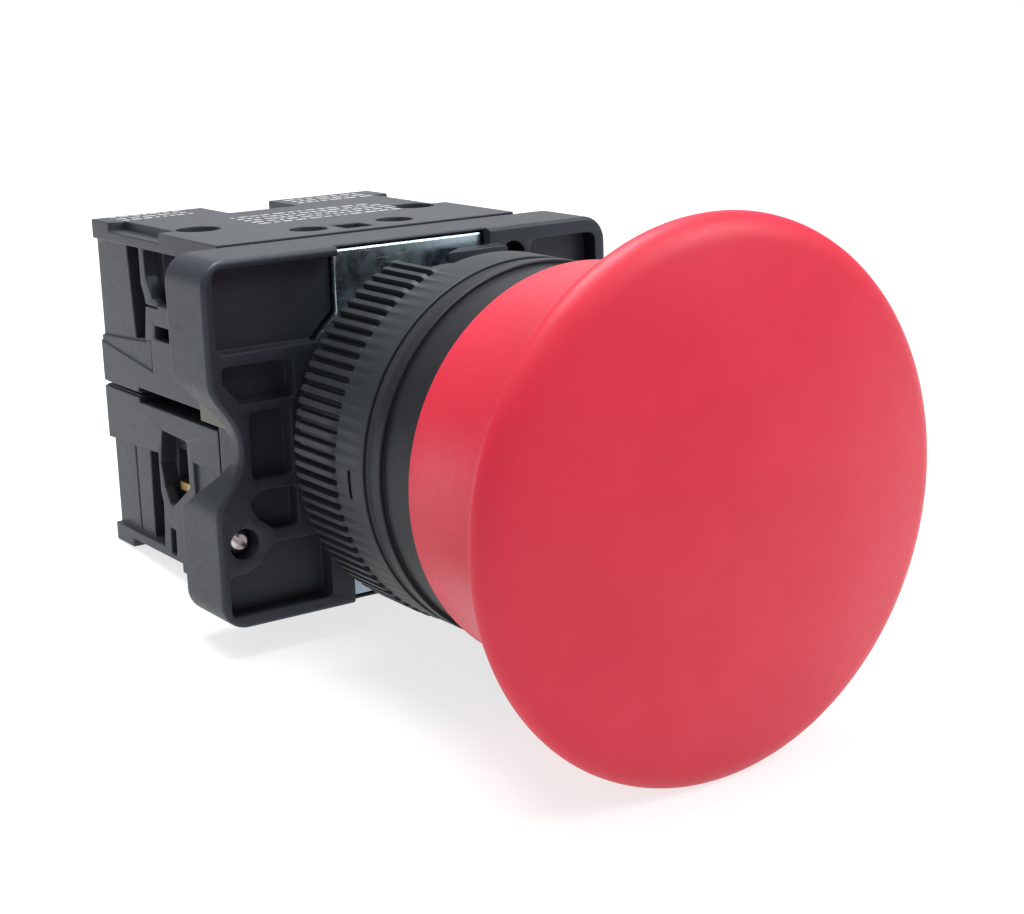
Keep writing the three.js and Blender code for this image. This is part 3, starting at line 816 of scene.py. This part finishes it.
def lock_plate():
    y = (PLATE_FRONT, PLATE_BACK)
    strip = prism(rounded_rectangle((-PLATE_X, PLATE_X), PLATE_Z, 0.15, 3), *y)
    ring = rod((0, 0), PLATE_RING, *y, segments=96)
    return cut(join(strip, ring), rod((0, 0), NECK_HOLE, y[0] - 1, y[1] + 1, segments=96))


def screw_thread(radii, end, depth):
    """A form for lathe: a thread cut into a shank whose radius lies in a range, up to its end."""
    def form(angle, radius, along):
        if not radii[0] < radius < radii[1] or along > end:
            return radius
        phase = (along / SCREW_PITCH - angle / TURN) % 1
        return radius - depth * min(1, max(0, 1.3 - abs(phase - 0.5) * 3.4))

    return form


def clamp_screw(x):
    y = limits("clamp_screw_right")[1]
    head_front = BASE_BACK - 1.75
    shank = [(0, y[0]), (0.62, y[0]), (0.95, y[0] + 0.25)]
    shank += [(1.0, y[0] + 0.3 + 0.06 * i) for i in range(int((head_front - y[0] - 0.5) / 0.06))]
    head = rounded([
        (1.0, head_front - 0.1), (1.0, head_front, 0), (1.95, head_front), (1.95, y[1], 0.35), (0, y[1]),
    ], 0.1, closed=False)
    screw = lathe(shank + head, 48, screw_thread((0.9, 1.05), head_front - 0.3, 0.18))
    screw = cut(
        screw,
        box((-2.5, 2.5), (y[1] - 0.7, y[1] + 1), (-0.25, 0.25)),
        box((-1.5, 1.5), (y[0] - 1, y[0] + 0.5), (-0.2, 0.2)))
    screw.data.transform(Matrix.Translation((x, 0, SCREW[1])) @ Matrix.Rotation(math.radians(40), 4, "Y"))
    return screw


def make_base():
    piece("base_moulding", clamp_base(), "housing", BASE_BLACK, ["clamp_base"], "black_plastic", edge=0.13)
    piece("steel_lock_plate", lock_plate(), "housing", ZINC, ["lock_plate"], "zinc_steel", edge=0.2)
    for side, name in ((-1, "left"), (1, "right")):
        piece(f"base_screw_{name}", clamp_screw(side * SCREW[0]), "housing", SCREW_ZINC,
              [f"clamp_screw_{name}"], "zinc_steel")


make_base()

# ---- contact blocks --------------------------------------------------------------------------
# Both blocks are drawn as the upper one. The lower one is turned half round the push axis.

BLOCK = limits("upper_block_housing")
BLOCK_X = BLOCK[0][1]
BLOCK_FRONT, BLOCK_BACK = BLOCK[1]
BLOCK_LOW, BLOCK_HEIGHT = BLOCK[2]
CHAMBER_Y = (29.5, 35.5)
CHAMBER_Z = (4.3, 13.4)
TERMINAL = (10.8, 32.8)
PLUNGER_Z = 7.5
PIN_SPRING_Y = (33.6, 40.5)
MOUTHS = {
    "upper": [
        [(29.6, 13.3), (36.3, 13.3), (36.2, 11.0), (35.1, 9.1), (34.4, 8.7), (29.6, 8.7)],
        [(29.6, 6.8), (35.1, 6.8), (35.2, 5.6), (29.6, 5.6)],
    ],
    "lower": [
        [(30.4, 2.7), (35.2, 2.5), (35.9, 5.5), (35.4, 7.6), (34.5, 9.1), (33.9, 9.1), (30.4, 6.8)],
        [(33.9, 11.3), (34.9, 11.3), (35, 13.7), (34, 13.7)],
    ],
}
DEEP_RECESS = {
    "upper": [(40.6, 13.3), (37.6, 13.3), (37.7, 11.1), (36.8, 9.2), (36.6, 8.6), (37.3, 5.2), (40, 5.0)],
    "lower": [(39.3, 5.2), (36.8, 5.0), (36.6, 7.5), (36.0, 9.3), (36.4, 13.3), (39.5, 13.3)],
}
STRIPS = {
    "upper": [(37.3, 5.1), (48, 4.4), (48, 13.3), (37.3, 13.3)],
    "lower": [(36.4, 4.5), (48, 5.2), (48, 13.3), (36.4, 13.3)],
}
STRIPS_SUNK = {"upper": 0.4, "lower": 0.55}
GROOVE_Y = {"upper": 43.9, "lower": 42.4}


def block_housing(name):
    top, outside = BLOCK_HEIGHT + 1, BLOCK_X + 1
    skin = 13.5
    cheek = 13.7 if name == "upper" else 14.2
    groove = GROOVE_Y[name]
    sunk = STRIPS_SUNK[name]
    shell = join(
        box((-BLOCK_X, BLOCK_X), (24.1, BLOCK_BACK), (BLOCK_LOW, BLOCK_HEIGHT)),
        box((-BLOCK_X, BLOCK_X), (BLOCK_FRONT, 25), (13.9, BLOCK_HEIGHT)))
    tools = [
        box((-6.6, 6.6), (BLOCK_FRONT - 1, 40.6), (1.9, 13.1)),
        prism(rounded([
            (-3.5, 41.2), (3.5, 41.2), (3.5, BLOCK_BACK + 1, 0), (-3.5, BLOCK_BACK + 1, 0),
        ], 0.4), 9, top, axis="Z"),
        box((-1.6, 1.1), (23.4, 26.4), (14.2, top)),
        rod((-4.1, 25.6), 1.6, 14.2, top, axis="Z"),
        rod((4.4, 25.6), 1.6, 14.2, top, axis="Z"),
    ]
    for side in (-1, 1):
        tools += [
            prism(DEEP_RECESS[name], *across(side, 12.2, outside), axis="X"),
            prism(STRIPS[name], *across(side, BLOCK_X - sunk, outside), axis="X"),
            box(across(side, BLOCK_X - sunk - 0.35, outside), (groove - 0.1, groove + 0.1), (5.3, 13.2)),
            box(across(side, 8.2, skin), CHAMBER_Y, CHAMBER_Z),
            box(across(side, cheek, outside), (23, CHAMBER_Y[0] - 0.2), (CHAMBER_Z[0], 13.3)),
            box(across(side, 13, outside), (33, 43.3), (14.2, top)),
            rod((side * TERMINAL[0], TERMINAL[1]), 1.9, 12, top, axis="Z"),
            box(across(side, 6, outside), (BLOCK_FRONT - 1, 39.5), (-1, 0.65)),
            box(across(side, BLOCK_X - 0.3, outside), (39, BLOCK_BACK + 1), (-1, BLOCK_LOW + 0.12)),
            box(across(side, 5.6, 9.2), (30.9, 34.7), (7.0, 8.0)),
        ]
        if name == "upper":
            ledge = [(36.2, 2.6), (48, 4.1), (48, 4.6), (36.2, 5.3)]
            tools += [
                prism(ledge, *across(side, BLOCK_X - 0.14, outside), axis="X"),
                box(across(side, BLOCK_X - 0.3, outside), (34.2, 37), (8.35, 8.5)),
            ]
        tools += [
            prism(rounded(mouth, 0.2), *across(side, skin - 0.5, outside), axis="X")
            for mouth in MOUTHS[name]
        ]
    return cut(shell, *tools)


def block_cover(name):
    _, y, z = limits(f"{name}_block_cover")
    back = 24
    low, high = (z[0], z[1]) if name == "upper" else (-z[1], -z[0])
    plate = box((-13.6, 13.6), (22, back), (low, high))
    hook = box((12.6, 13.6), (y[0], 22.5), (6, 9))
    lip = prism([(y[0], 12.6), (y[0] + 1, 12.6), (y[0] + 1, 14.2), (y[0] + 0.6, 14.2)], 6, 9, axis="Z")
    lip.data.transform(Matrix(((0, 1, 0, 0), (1, 0, 0, 0), (0, 0, 1, 0), (0, 0, 0, 1))))
    hole = box((-2.2, 2.2), (21, 25), (PLUNGER_Z - 1.7, PLUNGER_Z + 1.7))
    corner = box((-15, -13.2), (21, 25), (0, 4.4))
    return cut(join(plate, hook, lip), hole, corner)


def latch_clip():
    z = (0.7, 4.1)
    return join(
        box((-16.3, -15.7), (16.9, 23.4), z),
        box((-16.9, -15.7), (16.9, 17.5), z),
        box((-16.3, -14), (22.8, 23.4), z))


def plunger():
    z = PLUNGER_Z
    nose = box((-2, 2), (17.6, 25), (z - 1.5, z + 1.5))
    body = box((-2.5, 2.5), (24.6, 33.5), (z - 3.4, z + 3.4))
    return cut(join(nose, body), box((-3, 3), (26, 32.3), (z - 2.3, z + 2.3)))


def contact_bridge(front, closed):
    y = (front, front + 0.8)
    tip = (y[0] - 0.25, y[0] + 0.2) if closed else (y[1] - 0.2, y[1] + 0.25)
    return join(
        prism(rounded_rectangle((-5.2, 5.2), (PLUNGER_Z - 1.8, PLUNGER_Z + 1.8), 0.9), *y),
        rod((-4.3, PLUNGER_Z), 0.85, *tip, segments=32),
        rod((4.3, PLUNGER_Z), 0.85, *tip, segments=32))


def terminal(side, blade_front, closed):
    blade = (blade_front, blade_front + 0.8)
    z = (PLUNGER_Z - 1.6, PLUNGER_Z + 1.6)
    tip = (blade[1] - 0.2, blade[1] + 0.1) if closed else (blade[0] - 0.15, blade[0] + 0.2)
    strip = join(
        box(across(side, 3.4, 6.4), blade, z),
        box(across(side, 5.7, 6.4), (min(blade[0], 31), max(blade[1], 34.6)), z),
        rod((side * 4.3, PLUNGER_Z), 0.85, *tip, segments=32),
        box(across(side, 5.7, 13.4), (31, 34.6), (7.1, 7.9)))
    return cut(strip, rod((side * TERMINAL[0], TERMINAL[1]), 1.35, 6, 9, axis="Z"))


def terminal_screw(side):
    top = 12.9
    low = 4.8
    shank = [(0, low), (0.9, low), (1.25, low + 0.3)]
    shank += [(1.25, low + 0.36 + 0.06 * i) for i in range(int((top - 1.6 - low - 0.36) / 0.06))]
    head = rounded([
        (1.25, top - 1.55), (1.25, top - 1.5, 0), (1.8, top - 1.5), (1.8, top, 0.4), (0, top),
    ], 0.1, closed=False)
    screw = lathe(shank + head, 48, screw_thread((1.15, 1.3), top - 1.7, 0.2))
    screw.data.transform(Matrix.Rotation(math.radians(90), 4, "X"))
    screw = cut(
        screw,
        box((-0.25, 0.25), (-3, 3), (top - 0.75, top + 1)),
        box((-1.1, 1.1), (-0.22, 0.22), (top - 0.6, top + 1)))
    place = Matrix.Translation((side * TERMINAL[0], TERMINAL[1], 0))
    screw.data.transform(place @ Matrix.Rotation(math.radians(25 * side), 4, "Z"))
    return screw


def clamp_washer(side):
    x, y = side * TERMINAL[0], TERMINAL[1]
    plate = prism(rounded_rectangle((x - 2.3, x + 2.3), (y - 2.3, y + 2.3), 0.4), 10.5, 11.2, axis="Z")
    return cut(plate, rod((x, y), 1.4, 10, 12, axis="Z"))


def printed_marks():
    """Rows of small blank dashes where a block carries its small print."""
    rng = random.Random(7)
    fields = [((-13, -6), 43.2, 3), ((-5.5, 8.5), 31.5, 5), ((4.5, 12.5), 42.6, 3)]
    vertices, faces = [], []
    low, high = BLOCK_HEIGHT - 0.01, BLOCK_HEIGHT + 0.015
    for (start, end), first, rows in fields:
        for row in range(rows):
            y = first + row * 1.35
            x = start
            while x < end:
                length = rng.uniform(0.35, 1.3)
                count = len(vertices)
                for z in (low, high):
                    vertices += [(x, y, z), (x + length, y, z), (x + length, y + 0.55, z), (x, y + 0.55, z)]
                faces += [[count + k for k in face] for face in (
                    (0, 3, 2, 1), (4, 5, 6, 7), (0, 1, 5, 4), (1, 2, 6, 5), (2, 3, 7, 6), (3, 0, 4, 7))]
                x += length + rng.uniform(0.2, 0.45)
    return solid(vertices, faces)


# Whether the contact is closed at rest, and where the bridge and the fixed blades start along Y.
CONTACTS = {
    "upper": {"closed": True, "bridge": 27.6, "blade": 26.4, "pin": RED, "pin_slot": "red_plastic"},
    "lower": {"closed": False, "bridge": 31.35, "blade": 35.3, "pin": GREEN, "pin_slot": "green_plastic"},
}


def make_block(name):
    kind = CONTACTS[name]
    over = name == "lower"
    closed = kind["closed"]

    def put(part, thing, body, look, node, slot, edge=0.0):
        return piece(f"{name}_{part}", thing, body, look, [f"{name}_{node}"], slot, edge, over)

    put("case", block_housing(name), "housing", BLOCK_BLACK, "block_housing", "black_plastic", 0.13)
    put("front_cover", block_cover(name), "housing", GREY, "block_cover", "grey_plastic", 0.12)
    put("latch", latch_clip(), "housing", YELLOW_ZINC, "latch_clip", "yellow_zinc", 0.1)
    put("push_pin", plunger(), f"{name}_plunger_body", kind["pin"], "plunger", kind["pin_slot"], 0.12)
    bridge = contact_bridge(kind["bridge"], closed)
    put("bridge", bridge, f"{name}_bridge_body", BRASS, "contact_bridge", "brass", 0.07)
    spring = coil(PLUNGER_Z, 1.8, 0.22, *PIN_SPRING_Y, 6, sides=8)
    spring = put("pin_spring", spring, "housing", SPRING_STEEL, "plunger_spring", "spring_steel")
    squeeze(spring, f"{name}_plunger_slide", *PIN_SPRING_Y)
    ends = (kind["bridge"] + 0.9, 32.2) if closed else (26.1, kind["bridge"] - 0.1)
    spring = coil(PLUNGER_Z, 1.2, 0.18, *ends, 5, sides=8)
    spring = put("bridge_spring", spring, None, SPRING_STEEL, "contact_spring", "spring_steel")
    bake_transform(spring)
    for end, side in (("left", -1), ("right", 1)):
        contact = terminal(side, kind["blade"], closed)
        put(f"contact_{end}", contact, "housing", BRASS, f"terminal_{end}", "brass", 0.07)
        screw, washer = terminal_screw(side), clamp_washer(side)
        put(f"screw_{end}", screw, "housing", SCREW_ZINC, f"terminal_screw_{end}", "zinc_steel")
        put(f"washer_{end}", washer, "housing", SCREW_ZINC, f"clamp_washer_{end}", "zinc_steel", 0.1)


for block_name in CONTACTS:
    make_block(block_name)
marks = printed_marks()
marks.data.transform(Matrix.Scale(MM, 4))
marks.name = "printed_dashes"
marks.data.materials.append(INK)
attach(marks, "housing")

# ---- floor and light -------------------------------------------------------------------------


def make_floor():
    """A pale floor that the head's rim and the rear edge of the lower block both rest on."""
    rim_z = CAP[2][0]
    rear_y, rear_z = BLOCK_BACK, limits("lower_block_housing")[2][0]
    slope = math.atan2(rear_z - rim_z, rear_y - RIM_Y)
    half = 6.0
    corners = [(-half, -half, 0), (half, -half, 0), (half, half, 0), (-half, half, 0)]
    mesh = bpy.data.meshes.new("floor")
    mesh.from_pydata(corners, [], [(0, 1, 2, 3)])
    floor = bpy.data.objects.new("floor", mesh)
    bpy.context.scene.collection.objects.link(floor)
    floor.matrix_world = Matrix.Translation((0, RIM_Y * MM, rim_z * MM)) @ Matrix.Rotation(slope, 4, "X")
    look = Look("pale_floor")
    tone = look.between(look.noise(60, detail=2), 0.3, 0.7)
    look.set(Base_Color=look.mix(tone, colour(0.29, 0.29, 0.29), colour(0.31, 0.31, 0.31)), Roughness=0.8)
    look.set(Specular_IOR_Level=0.1, Emission_Color=colour(1, 1, 1), Emission_Strength=0.74)
    mesh.materials.append(look.material)


def area_light(name, place, size, power):
    """A round softbox that looks at the origin."""
    data = bpy.data.lights.new(name, "AREA")
    data.shape = "DISK"
    data.size = size
    data.energy = power
    light = bpy.data.objects.new(name, data)
    bpy.context.scene.collection.objects.link(light)
    light.location = place
    light.rotation_mode = "QUATERNION"
    light.rotation_quaternion = Vector(place).to_track_quat("Z", "Y")


def make_light():
    """A white studio, bright at the horizon and overhead and darker between, with three softboxes."""
    world = bpy.data.worlds.new("studio")
    bpy.context.scene.world = world
    world.use_nodes = True
    tree = world.node_tree
    split = tree.nodes.new("ShaderNodeSeparateXYZ")
    brighter = tree.nodes.new("ShaderNodeMath")
    brighter.operation = "MAXIMUM"
    tree.links.new(tree.nodes.new("ShaderNodeTexCoord").outputs["Generated"], split.inputs[0])
    for socket, (low, high, at_low, at_high) in enumerate([(0, 1, 0.12, 1), (0.06, 0.1, 1, 0)]):
        ramp = tree.nodes.new("ShaderNodeMapRange")
        ramp.inputs["From Min"].default_value = low
        ramp.inputs["From Max"].default_value = high
        ramp.inputs["To Min"].default_value = at_low
        ramp.inputs["To Max"].default_value = at_high
        tree.links.new(split.outputs["Z"], ramp.inputs["Value"])
        tree.links.new(ramp.outputs[0], brighter.inputs[socket])
    tree.links.new(brighter.outputs[0], tree.nodes["Background"].inputs["Strength"])
    tree.nodes["Background"].inputs["Color"].default_value = (0.97, 0.985, 1, 1)
    area_light("top_softbox", (0.0, 0.12, 0.7), 0.5, 7.5)
    area_light("front_softbox", (0.45, -0.45, 0.55), 0.4, 3.6)
    area_light("back_softbox", (0.4, 0.6, 0.32), 0.5, 0.38)
    bpy.context.scene.view_settings.view_transform = "Standard"


make_floor()
make_light()
